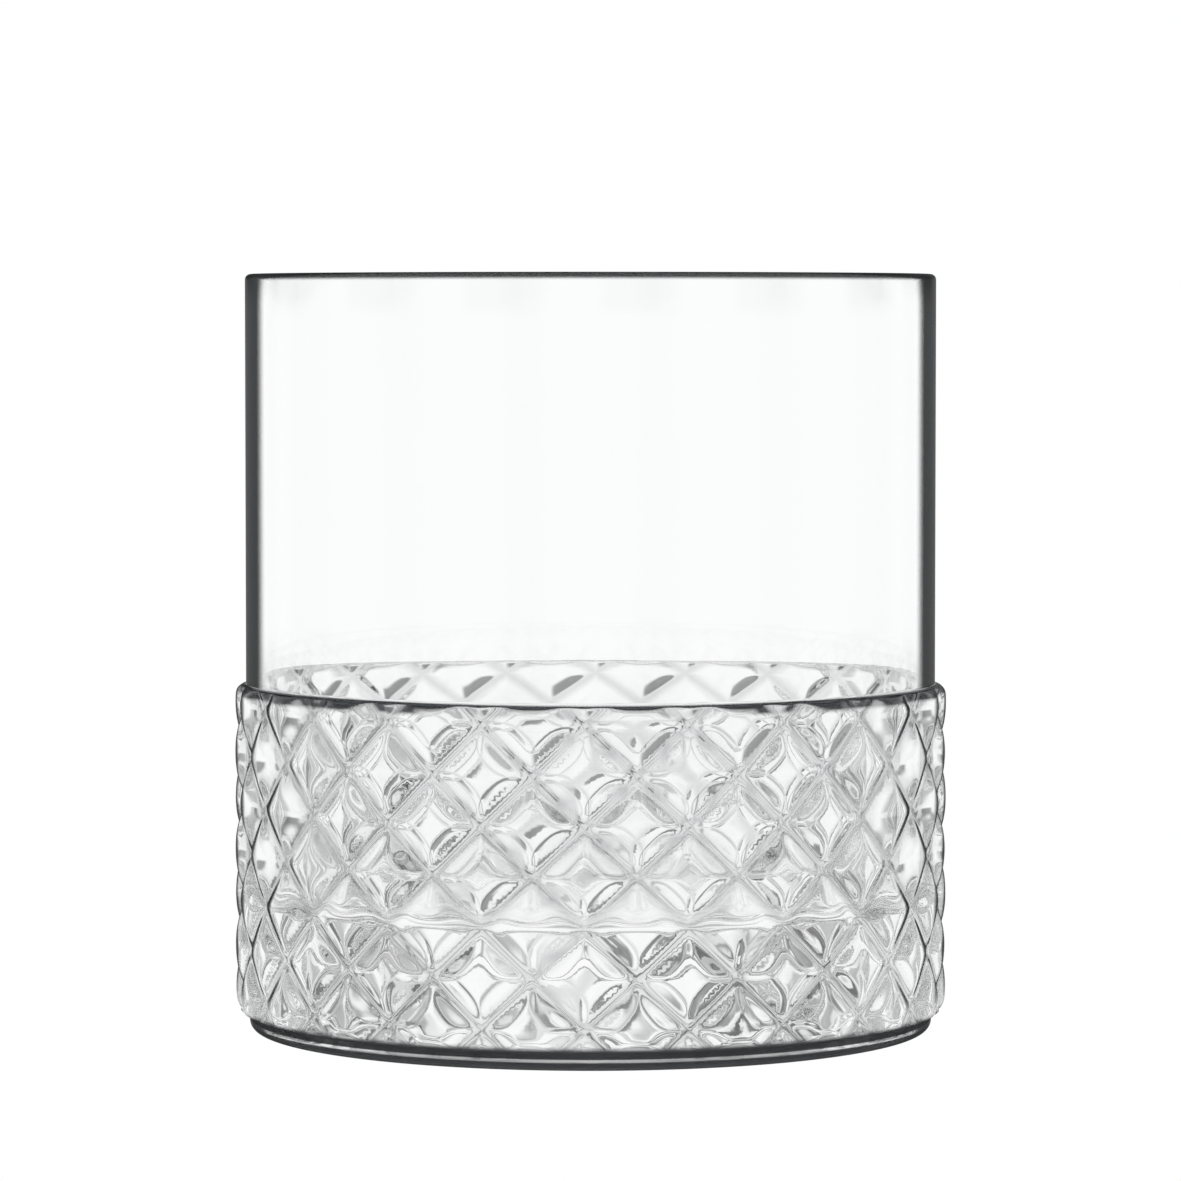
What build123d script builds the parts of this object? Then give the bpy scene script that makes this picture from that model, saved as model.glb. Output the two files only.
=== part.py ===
from build123d import *
from math import cos, pi, sin
import os

# A double old-fashioned tumbler in clear pressed glass, millimetres.
# The origin is the centre of the circle that it stands on, +Z is up.

# Overall
height = 90.0
wall_radius = 41.1  # outside of the plain upper wall
wall_thickness = 1.4
cavity_radius = wall_radius - wall_thickness

# Foot and underside
foot_radius = 40.75
foot_height = 2.1
foot_edge = 1.2  # rounding of the lower outside edge
punt_radius = 36.0  # the hollow in the underside starts here
punt_step = 1.5  # height and width of its sloped side
dome_rise = 1.0  # of the shallow dome inside that

# Cavity
floor_height = 15.5
floor_corner = 3.0

# Band of raised diamonds
band_bottom = foot_height
band_top = 41.25
band_radius = 42.5  # over the points of the diamonds
groove_radius = 41.5  # where two grooves cross
top_edge_rise = 1.5
bottom_edge_rise = 1.8
diamonds_around = 22
row_pitch = 5.73  # from one row of diamonds to the next, half a diamond's height
first_row = 4.7  # height of the lowest row of crossings and points
rows_above = 6
turn = -0.95  # degrees, from the front to the nearest column of the lattice
column_step = 360.0 / (2 * diamonds_around)

os.makedirs("parts", exist_ok=True)


def lattice_point(column, row):
    """A crossing of grooves where column and row are both odd or both even, a diamond's point otherwise."""
    is_point = (column + row) % 2 == 1
    radius = band_radius if is_point else groove_radius
    angle = (turn + column * column_step) * pi / 180
    return (radius * sin(angle), -radius * cos(angle), first_row + row * row_pitch)


def facet(*corners):
    """One flat triangle of the diamond pattern."""
    return Face(Wire.make_polygon(corners, close=True))


# A column of glass with flat-sided diamonds all over, one row past each edge of the band.
# Each square of the lattice folds along the groove that joins its two crossings.
columns = 2 * diamonds_around
lowest_row = -1
highest_row = rows_above + 1
facets = []
for row in range(lowest_row, highest_row):
    for column in range(columns):
        low_left = lattice_point(column, row)
        low_right = lattice_point(column + 1, row)
        high_left = lattice_point(column, row + 1)
        high_right = lattice_point(column + 1, row + 1)
        if (column + row) % 2 == 0:
            facets.append(facet(low_left, low_right, high_right))
            facets.append(facet(low_left, high_right, high_left))
        else:
            facets.append(facet(low_left, low_right, high_left))
            facets.append(facet(low_right, high_right, high_left))
for end_row in (lowest_row, highest_row):
    facets.append(Face(Wire.make_polygon([lattice_point(c, end_row) for c in range(columns)], close=True)))
diamond_column = Solid(Shell(facets))

with BuildPart() as tumbler:
    # The band, with its rounded upper and lower edges
    with BuildSketch(Plane.XZ) as band_section:
        with BuildLine():
            low_edge = EllipticalCenterArc(
                (foot_radius, band_bottom + bottom_edge_rise),
                band_radius - foot_radius,
                bottom_edge_rise,
                270,
                arc_size=90,
            )
            high_edge = EllipticalCenterArc(
                (wall_radius, band_top - top_edge_rise),
                band_radius - wall_radius,
                top_edge_rise,
                0,
                arc_size=90,
            )
            Line(low_edge @ 1, high_edge @ 0)
            Polyline(high_edge @ 1, (0, band_top), (0, band_bottom), low_edge @ 0)
        make_face()
    revolve(axis=Axis.Z)
    # Its diamonds
    add(diamond_column, mode=Mode.INTERSECT)

    # The foot and the plain wall, solid for now
    with BuildSketch(Plane.XZ) as plain_section:
        with BuildLine():
            Polyline((foot_radius, band_bottom), (0, band_bottom), (0, 0), (foot_radius - foot_edge, 0))
            foot_arc = CenterArc((foot_radius - foot_edge, foot_edge), foot_edge, 270, 90)
            Line(foot_arc @ 1, (foot_radius, band_bottom))
        make_face()
        with BuildLine():
            Polyline(
                (0, band_top - top_edge_rise),
                (wall_radius, band_top - top_edge_rise),
                (wall_radius, height),
                (0, height),
                close=True,
            )
        make_face()
    revolve(axis=Axis.Z)

    # The hollow underside: a sloped side, then a shallow dome
    with BuildSketch(Plane.XZ) as punt_section:
        with BuildLine():
            dome_radius = punt_radius - punt_step
            dome_ball = (dome_radius**2 + dome_rise**2) / (2 * dome_rise)
            dome_arc = RadiusArc((dome_radius, punt_step), (0, punt_step + dome_rise), -dome_ball)
            Polyline(dome_arc @ 1, (0, 0), (punt_radius, 0), dome_arc @ 0)
        make_face()
    revolve(axis=Axis.Z, mode=Mode.SUBTRACT)

    # The cavity, up to the rim, with a rounded corner at the floor
    with BuildSketch(Plane.XZ) as cavity_section:
        with BuildLine():
            corner_centre = (cavity_radius - floor_corner, floor_height + floor_corner)
            corner_arc = CenterArc(corner_centre, floor_corner, 270, 90)
            Polyline(
                corner_arc @ 1,
                (cavity_radius, height),
                (0, height),
                (0, floor_height),
                corner_arc @ 0,
            )
        make_face()
    revolve(axis=Axis.Z, mode=Mode.SUBTRACT)

    # The fire-polished rim
    rim_edges = tumbler.edges().filter_by(GeomType.CIRCLE).group_by(Axis.Z)[-1]
    fillet(rim_edges, wall_thickness / 2 - 0.01)

tumbler.part.label = "tumbler"
export_step(tumbler.part, "parts/tumbler.step")
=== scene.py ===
import bpy
from math import asin, atan2, cos, degrees, floor, hypot, pi, radians, sin, sqrt
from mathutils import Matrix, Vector


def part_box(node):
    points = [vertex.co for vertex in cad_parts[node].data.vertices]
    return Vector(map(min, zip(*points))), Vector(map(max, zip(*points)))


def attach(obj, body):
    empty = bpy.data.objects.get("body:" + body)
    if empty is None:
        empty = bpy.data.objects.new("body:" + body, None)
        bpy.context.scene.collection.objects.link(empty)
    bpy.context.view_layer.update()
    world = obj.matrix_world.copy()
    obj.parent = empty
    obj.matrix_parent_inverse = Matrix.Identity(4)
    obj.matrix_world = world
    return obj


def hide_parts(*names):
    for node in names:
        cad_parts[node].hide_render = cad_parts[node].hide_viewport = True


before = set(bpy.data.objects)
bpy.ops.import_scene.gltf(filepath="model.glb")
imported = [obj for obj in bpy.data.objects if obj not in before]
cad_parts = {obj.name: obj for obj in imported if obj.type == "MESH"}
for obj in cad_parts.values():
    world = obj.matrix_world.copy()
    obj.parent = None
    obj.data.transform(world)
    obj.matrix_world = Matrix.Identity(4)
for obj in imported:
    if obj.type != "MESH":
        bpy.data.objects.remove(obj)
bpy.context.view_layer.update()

# ---------------------------------------------------------------- sizes, in metres
MM = 0.001
low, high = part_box("tumbler")
HEIGHT = high.z
FACET_SHORTFALL = 0.006 * MM  # the flat facets of the CAD stop this short of the full round
BAND_RADIUS = high.x + FACET_SHORTFALL
BAND_STEP = 1.4 * MM  # how far the band stands out from the plain wall
WALL_RADIUS = BAND_RADIUS - BAND_STEP
WALL_THICKNESS = 1.4 * MM
CAVITY_RADIUS = WALL_RADIUS - WALL_THICKNESS

FOOT_STEP = 1.75 * MM  # how far the foot stands in from the band
FOOT_RADIUS = BAND_RADIUS - FOOT_STEP
FOOT_HEIGHT = 2.1 * MM
FOOT_EDGE = 1.2 * MM  # rounding of the lower outside edge
PUNT_RADIUS = 36.0 * MM  # the hollow in the underside starts here
PUNT_STEP = 1.5 * MM  # height and width of its sloped side
PUNT_DOME = 1.0 * MM  # rise of the shallow dome inside that

FLOOR_HEIGHT = 15.5 * MM
FLOOR_CORNER = 3.0 * MM

BAND_TOP = 41.25 * MM
TOP_RISE = 1.5 * MM
BOTTOM_RISE = 1.8 * MM
TOP_BLEND = 0.5 * MM  # radius of the hollow curve from the wall to the band's upper edge
TOP_BLEND_RISE = 0.8 * TOP_BLEND  # its centre, above the top of the band
TOP_EDGE_SWEEP = 69  # degrees of the upper edge's round before that curve takes over
SHARP_CORNER = radians(25)
CORNER_REACH = 0.06 * MM  # from a sharp corner to the points that keep it crisp

DIAMONDS = 22
ROW_PITCH = 5.73 * MM  # half a diamond's height
FIRST_ROW = 4.7 * MM  # height of the lowest row of crossings and points
TURN = radians(-0.95)  # from the front to the nearest column of crossings and points
GROOVE_DEPTH = 1.0 * MM
GROOVE_ROUND = 0.2  # rounding at the bottom of the grooves, as a share of a diamond's half width
RIDGE_ROUND = 0.3  # rounding of the ridges, as a share of the grooves' depth
PILLOW = 3.2  # 1 gives flat-sided diamonds, and more gives flatter tops and steeper sides
EDGE_FADE = 0.1 * MM  # softens the line where the grooves run out at the band's edges
SKIN = 0.01 * MM  # what stands out from the plain wall by more than this belongs to the band
MERGE = 0.001 * MM

COLUMNS_PER_DIAMOND = 20
COLUMNS = DIAMONDS * COLUMNS_PER_DIAMOND
ROWS_PER_PITCH = 12

# ---------------------------------------------------------------- where shade is painted on the glass
# Each pair says where a painted shade starts and where it is full, in metres for places
WALL_TURN = (0.665, 0.75)  # how far the wall turns away from the eye
BAND_TURN = (0.68, 0.85)  # the same for the band
SHOULDER_TURN = (0.0, 0.32)  # and for the band's upper shoulder
OUTSIDE = (CAVITY_RADIUS + 0.3 * MM, CAVITY_RADIUS + 0.8 * MM)
ON_BAND = (WALL_RADIUS + 0.02 * MM, WALL_RADIUS + 0.10 * MM)
IN_THICK_GLASS = (WALL_RADIUS + 0.1 * MM, WALL_RADIUS + 0.5 * MM)
ABOVE_FOOT = (3.0 * MM, 6.5 * MM)  # height, where the band's painted side shade sets in
ON_SHOULDER = (39.8 * MM, 40.4 * MM)
ON_RIM = (HEIGHT - 0.95 * MM, HEIGHT - 0.45 * MM)
FOOT_OUTSIDE = (39.3 * MM, 39.7 * MM)
FOOT_BELOW = (3.1 * MM, 2.3 * MM)
FOOT_LINE_ABOVE = (0.95 * MM, 1.10 * MM)  # the painted light line round the painted dark foot
FOOT_LINE_BELOW = (1.45 * MM, 1.30 * MM)
# How dark the painted shade is at the sides, the rim and the foot
SIDE_STRENGTH = 0.87
RIM_STRENGTH = 0.94
FOOT_STRENGTH = 0.96
FOOT_PAINTED_HIGHLIGHT = 0.8

CLEAREST = (0.990, 0.992, 0.992, 1)
STREAK = (0.978, 0.982, 0.982, 1)
THICK_GLASS = (0.955, 0.96, 0.96, 1)
# Painted grey shade along the grooves of the band
GROOVE_SHADE = (0.56, 0.57, 0.575, 1)
GROOVE_SHADE_REACH = 0.17  # to where it fades out, as a share of the way to the next groove
# Near-black painted shade for the glass's sides and shoulder
PAINTED_EDGE_SHADE_COLOUR = (0.002, 0.0025, 0.003, 1)
# A matt near-black surface, painted shade mixed over the glass at the sides, the rim and the foot
PAINTED_SHADE_MATT = (0.03, 0.032, 0.034, 1)
MATT_ROUGHNESS = 0.4
GLASS_IOR = 1.5
RIPPLE_DEPTH = 0.006 * MM
RIPPLE_SCALE = 220.0
STREAK_SCALE = 60.0


# ---------------------------------------------------------------- shader maths
class Value:
    """One output socket of a node tree, with the usual arithmetic on it."""

    def __init__(self, tree, socket):
        self.tree = tree
        self.socket = socket

    def math(self, operation, *others):
        return add_node(self.tree, "ShaderNodeMath", {"operation": operation}, (self, *others))

    def __add__(self, other):
        return self.math("ADD", other)

    __radd__ = __add__

    def __sub__(self, other):
        return self.math("SUBTRACT", other)

    def __rsub__(self, other):
        return add_node(self.tree, "ShaderNodeMath", {"operation": "SUBTRACT"}, (other, self))

    def __mul__(self, other):
        return self.math("MULTIPLY", other)

    __rmul__ = __mul__

    def __truediv__(self, other):
        return self.math("DIVIDE", other)

    def __rtruediv__(self, other):
        return add_node(self.tree, "ShaderNodeMath", {"operation": "DIVIDE"}, (other, self))

    def __pow__(self, other):
        return self.math("POWER", other)

    def step(self, start, end):
        """0 below start, 1 above end, and smooth between; it falls instead if start is above end."""
        sockets = {"Value": self, "From Min": start, "From Max": end}
        return add_node(self.tree, "ShaderNodeMapRange", {"interpolation_type": "SMOOTHSTEP"}, sockets)


def add_node(tree, kind, settings=None, sockets=(), output=0):
    """Adds a node, sets it up, fills its sockets with values or links, and gives one of its outputs."""
    node = tree.nodes.new(kind)
    for name, setting in (settings or {}).items():
        setattr(node, name, setting)
    pairs = sockets.items() if isinstance(sockets, dict) else enumerate(sockets)
    for key, value in pairs:
        if isinstance(value, Value):
            tree.links.new(value.socket, node.inputs[key])
        else:
            node.inputs[key].default_value = value
    return Value(tree, node.outputs[output])


def mix_colours(tree, share, first, second):
    """first where share is 0, second where it is 1."""
    sockets = {0: share, 6: first, 7: second}
    return add_node(tree, "ShaderNodeMix", {"data_type": "RGBA"}, sockets, output=2)


def axes(place):
    """The x, y and z of a place or a direction."""
    split = add_node(place.tree, "ShaderNodeSeparateXYZ", sockets=(place,))
    return [Value(place.tree, socket) for socket in split.socket.node.outputs]


def show(shader, kind):
    """Sends a shader to its tree's output node."""
    output = shader.tree.nodes.new(kind)
    shader.tree.links.new(shader.socket, output.inputs["Surface"])


def new_material(name):
    """A material with an empty node tree."""
    material = bpy.data.materials.new(name)
    material.use_nodes = True
    material.node_tree.nodes.clear()
    return material, material.node_tree


# ---------------------------------------------------------------- the glass
def arc(centre, radii, start, end, steps):
    """Points of a quarter or half round, from start to end in degrees, both included."""
    points = []
    for i in range(steps + 1):
        angle = radians(start + (end - start) * i / steps)
        points.append((centre[0] + radii[0] * cos(angle), centre[1] + radii[1] * sin(angle)))
    return points


def line(start, end, steps):
    """Points between two places, without the two ends."""
    return [
        (start[0] + (end[0] - start[0]) * i / steps, start[1] + (end[1] - start[1]) * i / steps)
        for i in range(1, steps)
    ]


def firm_corners(section):
    """Adds a point close to each side of every sharp corner, so that it shades as a crisp one."""
    points = [section[0]]
    for before, here, after in zip(section, section[1:], section[2:]):
        arriving = Vector(here) - Vector(before)
        leaving = Vector(after) - Vector(here)
        sharp = arriving.angle(leaving) > SHARP_CORNER
        if sharp and arriving.length > 2 * CORNER_REACH:
            points.append(tuple(Vector(here) - arriving.normalized() * CORNER_REACH))
        points.append(here)
        if sharp and leaving.length > 2 * CORNER_REACH:
            points.append(tuple(Vector(here) + leaving.normalized() * CORNER_REACH))
    points.append(section[-1])
    return points


def glass_section():
    """Half the tumbler's cross section, from the middle of the underside to the middle of the floor."""
    dome_radius = PUNT_RADIUS - PUNT_STEP
    ball = (dome_radius**2 + PUNT_DOME**2) / (2 * PUNT_DOME)
    dome_angle = degrees(asin(dome_radius / ball))
    underside = arc((0, PUNT_STEP + PUNT_DOME - ball), (ball, ball), 90, 90 - dome_angle, steps=24)
    edge = arc((FOOT_RADIUS - FOOT_EDGE, FOOT_EDGE), (FOOT_EDGE, FOOT_EDGE), 270, 360, steps=10)
    low_edge = arc(
        (FOOT_RADIUS, FOOT_HEIGHT + BOTTOM_RISE),
        (BAND_RADIUS - FOOT_RADIUS, BOTTOM_RISE),
        270,
        360,
        steps=8,
    )
    high_edge = arc(
        (WALL_RADIUS, BAND_TOP - TOP_RISE),
        (BAND_RADIUS - WALL_RADIUS, TOP_RISE),
        0,
        TOP_EDGE_SWEEP,
        steps=8,
    )
    blend = arc(
        (WALL_RADIUS + TOP_BLEND, BAND_TOP + TOP_BLEND_RISE), (TOP_BLEND, TOP_BLEND), 270, 180, steps=6
    )
    band_rows = round((high_edge[0][1] - low_edge[-1][1]) / ROW_PITCH * ROWS_PER_PITCH)
    rim = arc(
        (WALL_RADIUS - WALL_THICKNESS / 2, HEIGHT - WALL_THICKNESS / 2),
        (WALL_THICKNESS / 2, WALL_THICKNESS / 2),
        0,
        180,
        steps=12,
    )
    corner = arc(
        (CAVITY_RADIUS - FLOOR_CORNER, FLOOR_HEIGHT + FLOOR_CORNER),
        (FLOOR_CORNER, FLOOR_CORNER),
        0,
        -90,
        steps=12,
    )
    section = underside
    section += line(underside[-1], (PUNT_RADIUS, 0), steps=4)
    section.append((PUNT_RADIUS, 0))
    section += line((PUNT_RADIUS, 0), edge[0], steps=3)
    section += edge
    section += line(edge[-1], low_edge[0], steps=3)
    section += low_edge
    section += line(low_edge[-1], high_edge[0], steps=band_rows)
    section += high_edge
    section += blend
    section += line(blend[-1], rim[0], steps=10)
    section += rim
    section += line(rim[-1], corner[0], steps=20)
    section += corner
    section += line(corner[-1], (0, FLOOR_HEIGHT), steps=12)
    section.append((0, FLOOR_HEIGHT))
    return firm_corners(section)


def deselect():
    bpy.ops.object.select_all(action="DESELECT")


def start_at_point(name, point):
    """A new mesh object that is a single vertex, ready to be drawn out."""
    deselect()
    bpy.ops.mesh.primitive_plane_add(size=MM, location=(0, 0, 0))
    piece = bpy.context.object
    piece.name = name
    piece.data.name = name
    bpy.ops.object.mode_set(mode="EDIT")
    bpy.ops.mesh.select_all(action="SELECT")
    bpy.ops.mesh.merge(type="CENTER")
    bpy.ops.transform.translate(value=point)
    return piece


def saw(x):
    """Distance to the nearest whole number, from 0 on it to 1 half way between two."""
    return 1 - abs(2 * (x - floor(x)) - 1)


def softened(x, amount):
    """x with the sharp fold at 0 rounded off."""
    return sqrt(x * x + amount * amount) - amount


def soft_min(a, b, amount):
    """The smaller of two values, with the fold where they cross rounded off."""
    return 0.5 * (a + b - sqrt((a - b) ** 2 + amount * amount))


def flank(distance):
    """Height of a diamond's side at a distance from the groove: steep by the groove, flatter on top."""
    return 1 - (1 - min(1, softened(distance, GROOVE_ROUND))) ** PILLOW


def diamond_height(angle, z):
    """How far a place stands up from the bottom of the grooves, 0 to 1."""
    across = (angle - TURN) / (2 * pi) * DIAMONDS
    up = (z - FIRST_ROW) / (2 * ROW_PITCH)
    top = soft_min(flank(1), flank(1), RIDGE_ROUND)
    return soft_min(flank(saw(across + up)), flank(saw(across - up)), RIDGE_ROUND) / top


def press_diamonds(piece):
    """Presses the two sets of grooves into the band, leaving its edges round."""
    for vertex in piece.data.vertices:
        x, y, z = vertex.co
        radius = hypot(x, y)
        if radius < WALL_RADIUS + SKIN or z > BAND_TOP or z < FOOT_HEIGHT:
            continue
        angle = atan2(x, -y)
        diamond = BAND_RADIUS - GROOVE_DEPTH * (1 - diamond_height(angle, z))
        new_radius = soft_min(radius, diamond, EDGE_FADE)
        vertex.co.x *= new_radius / radius
        vertex.co.y *= new_radius / radius


def make_glass():
    section = glass_section()
    front = (sin(TURN), -cos(TURN))
    previous = Vector((section[0][0] * front[0], section[0][0] * front[1], section[0][1]))
    piece = start_at_point("tumbler_glass", previous)
    for radius, z in section[1:]:
        here = Vector((radius * front[0], radius * front[1], z))
        bpy.ops.mesh.extrude_vertices_move(TRANSFORM_OT_translate={"value": here - previous})
        previous = here
    bpy.ops.mesh.select_all(action="SELECT")
    bpy.ops.mesh.spin(steps=COLUMNS, angle=2 * pi, center=(0, 0, 0), axis=(0, 0, 1))
    bpy.ops.mesh.select_all(action="SELECT")
    bpy.ops.mesh.remove_doubles(threshold=MERGE)
    bpy.ops.mesh.normals_make_consistent(inside=False)
    bpy.ops.object.mode_set(mode="OBJECT")
    press_diamonds(piece)
    bpy.ops.object.shade_smooth()
    return piece


def groove_shade_mask(x, y, z):
    """Where the painted groove shade goes: 1 along the bottoms of the grooves, fading to 0 on the
    diamonds.
    """
    across = (x.math("ARCTAN2", 0.0 - y) - TURN) * (DIAMONDS / (2 * pi))
    up = (z - FIRST_ROW) / (2 * ROW_PITCH)
    rising = (across + up).math("PINGPONG", 0.5)
    falling = (across - up).math("PINGPONG", 0.5)
    return rising.math("MINIMUM", falling).step(GROOVE_SHADE_REACH, 0.0)


def glass_material():
    """Clear glass with a faint ripple from the mould, painted grey shade along the grooves, and painted
    dark shade at the edges, the rim and the foot.
    """
    material, tree = new_material("clear_glass")
    place = add_node(tree, "ShaderNodeTexCoord", output="Object")
    x, y, z = axes(place)
    radius = (x * x + y * y) ** 0.5
    outside = radius.step(*OUTSIDE)
    banded = radius.step(*ON_BAND)

    # Painted shade stands in for the dark that thick glass gathers from its surround: the sides and
    # the shoulder are painted dark by how far they turn from the eye, and the rim and the foot by their
    # place
    facing = add_node(tree, "ShaderNodeLayerWeight", sockets={"Blend": 0.5}, output="Facing")
    wall_side = facing.step(*WALL_TURN) * (1.0 - banded)
    band_side = facing.step(*BAND_TURN) * banded * z.step(*ABOVE_FOOT)
    side = outside * wall_side.math("MAXIMUM", band_side)
    shoulder = banded * facing.step(*SHOULDER_TURN) * z.step(*ON_SHOULDER)
    rim = z.step(*ON_RIM)
    # Painted highlight: a light line round the painted dark foot
    foot_line = z.step(*FOOT_LINE_ABOVE) * z.step(*FOOT_LINE_BELOW)
    foot = radius.step(*FOOT_OUTSIDE) * z.step(*FOOT_BELOW)
    foot = foot * (FOOT_STRENGTH - FOOT_PAINTED_HIGHLIGHT * foot_line)
    # Painted dark shade at the sides and the shoulder, mixed into the glass's colour
    painted_edge_shade = side.math("MAXIMUM", shoulder)
    painted_dark = (SIDE_STRENGTH * side).math("MAXIMUM", RIM_STRENGTH * rim).math("MAXIMUM", foot)
    # Inside the glass the painted dark is left out, so that light gets through
    behind = add_node(tree, "ShaderNodeNewGeometry", output="Backfacing")
    painted_dark = painted_dark * (1.0 - behind)

    sockets = {"Vector": place, "Scale": STREAK_SCALE, "Detail": 3.0}
    streaks = add_node(tree, "ShaderNodeTexNoise", sockets=sockets)
    colour = mix_colours(tree, streaks, CLEAREST, STREAK)
    colour = mix_colours(tree, radius.step(*IN_THICK_GLASS), colour, THICK_GLASS)
    # Painted grey shade along the bottoms of the grooves
    colour = mix_colours(tree, groove_shade_mask(x, y, z) * banded, colour, GROOVE_SHADE)
    colour = mix_colours(tree, painted_edge_shade, colour, PAINTED_EDGE_SHADE_COLOUR)

    sockets = {"Vector": place, "Scale": RIPPLE_SCALE, "Detail": 1.0}
    ripple = add_node(tree, "ShaderNodeTexNoise", sockets=sockets)
    bump = add_node(tree, "ShaderNodeBump", sockets={"Distance": RIPPLE_DEPTH, "Height": ripple})
    sockets = {
        "Base Color": colour,
        "Roughness": 0.0,
        "IOR": GLASS_IOR,
        "Transmission Weight": 1.0,
        "Normal": bump,
    }
    clear_glass = add_node(tree, "ShaderNodeBsdfPrincipled", sockets=sockets)
    # Painted shade: a matt near-black surface mixed over the glass at the sides, the rim and the foot
    sockets = {"Base Color": PAINTED_SHADE_MATT, "Roughness": MATT_ROUGHNESS, "Specular IOR Level": 0.0}
    painted_dark_surface = add_node(tree, "ShaderNodeBsdfPrincipled", sockets=sockets)
    shader = add_node(tree, "ShaderNodeMixShader", sockets=(painted_dark, clear_glass, painted_dark_surface))
    show(shader, "ShaderNodeOutputMaterial")
    return material


glass = make_glass()
glass.data.materials.append(glass_material())
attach(glass, "root")
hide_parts("tumbler")


# ---------------------------------------------------------------- floor
FLOOR_SIZE = 60
FLOOR_GAP = 0.05 * MM


def make_floor():
    """A pale sheet that goes on past everything, lit evenly. The glass shows the surround instead."""
    deselect()
    bpy.ops.mesh.primitive_plane_add(size=FLOOR_SIZE, location=(0, 0, low.z - FLOOR_GAP))
    sheet = bpy.context.object
    sheet.name = "floor"
    material, tree = new_material("pale_floor")
    light = add_node(tree, "ShaderNodeEmission", sockets={"Color": (1, 1, 1, 1), "Strength": 1.0})
    show(light, "ShaderNodeOutputMaterial")
    sheet.data.materials.append(material)
    sheet.visible_transmission = False
    sheet.visible_glossy = False
    return sheet


make_floor()

# ---------------------------------------------------------------- camera
CAMERA_DISTANCE = 0.662
CAMERA_HEIGHT = 0.08557
CAMERA_TILT = 2.88  # degrees, downwards
CAMERA_LENS = 169.15
SENSOR_WIDTH = 36
NEAREST_SEEN = 0.01
camera_data = bpy.data.cameras.new("camera")
camera_data.lens = CAMERA_LENS
camera_data.sensor_width = SENSOR_WIDTH
camera_data.clip_start = NEAREST_SEEN
camera = bpy.data.objects.new("camera", camera_data)
camera.location = (0, -CAMERA_DISTANCE, CAMERA_HEIGHT)
camera.rotation_euler = (radians(90 - CAMERA_TILT), 0, 0)
bpy.context.scene.collection.objects.link(camera)
bpy.context.scene.camera = camera


# ---------------------------------------------------------------- studio
# Angles in degrees: lift above the horizon, and swing round the glass within one set of panels.
# Each pair says where a panel starts to darken and where it is full
SET_HALF_TURN = 22.5
OVERHEAD_LIFT = (16, 32)
OVERHEAD_DARKNESS = 0.48
SIDE_SWING = (12, 20)
SIDE_BELOW = (-4.5, -6.0)
SIDE_ABOVE = (0.5, 2.0)
SIDE_DARKNESS = 0.10
SIDE_DARKNESS_OFF_WALL = 0.36  # more, above and below what the plain wall shows
CARD_SWING = (0, -7.0)  # a dark card on one side, just above the horizon
CARD_LOWER_EDGE = (0, 3)
CARD_UPPER_EDGE = (17, 8)
CARD_DARKNESS = 0.72
GLASS_BOUNCES = 32
GLOSS_BOUNCES = 16


def studio():
    """A white surround with soft dark panels, which only the glass shows, not the camera."""
    scene = bpy.context.scene
    scene.view_settings.view_transform = "Standard"
    scene.cycles.max_bounces = GLASS_BOUNCES
    scene.cycles.transmission_bounces = GLASS_BOUNCES
    scene.cycles.glossy_bounces = GLOSS_BOUNCES
    world = bpy.data.worlds.new("studio")
    scene.world = world
    world.use_nodes = True
    tree = world.node_tree
    tree.nodes.clear()
    x, y, z = axes(add_node(tree, "ShaderNodeTexCoord", output="Generated"))
    lift = z.math("ARCSINE") * (180 / pi)
    swing = x.math("ARCTAN2", y) * (180 / pi)
    # The panels repeat every 45 degrees round the glass
    swing = swing.math("WRAP", SET_HALF_TURN, -SET_HALF_TURN)

    overhead = OVERHEAD_DARKNESS * lift.step(*OVERHEAD_LIFT)
    off_wall = lift.step(*SIDE_BELOW) + lift.step(*SIDE_ABOVE)
    side = swing.math("ABSOLUTE").step(*SIDE_SWING) * (SIDE_DARKNESS + SIDE_DARKNESS_OFF_WALL * off_wall)
    card = swing.step(*CARD_SWING) * lift.step(*CARD_LOWER_EDGE) * lift.step(*CARD_UPPER_EDGE)
    level = (1.0 - overhead) * (1.0 - side) * (1.0 - CARD_DARKNESS * card)

    camera_ray = add_node(tree, "ShaderNodeLightPath", output="Is Camera Ray")
    shown = level + camera_ray * (1.0 - level)
    surround = add_node(tree, "ShaderNodeBackground", sockets={"Color": shown, "Strength": 1.0})
    show(surround, "ShaderNodeOutputWorld")


studio()
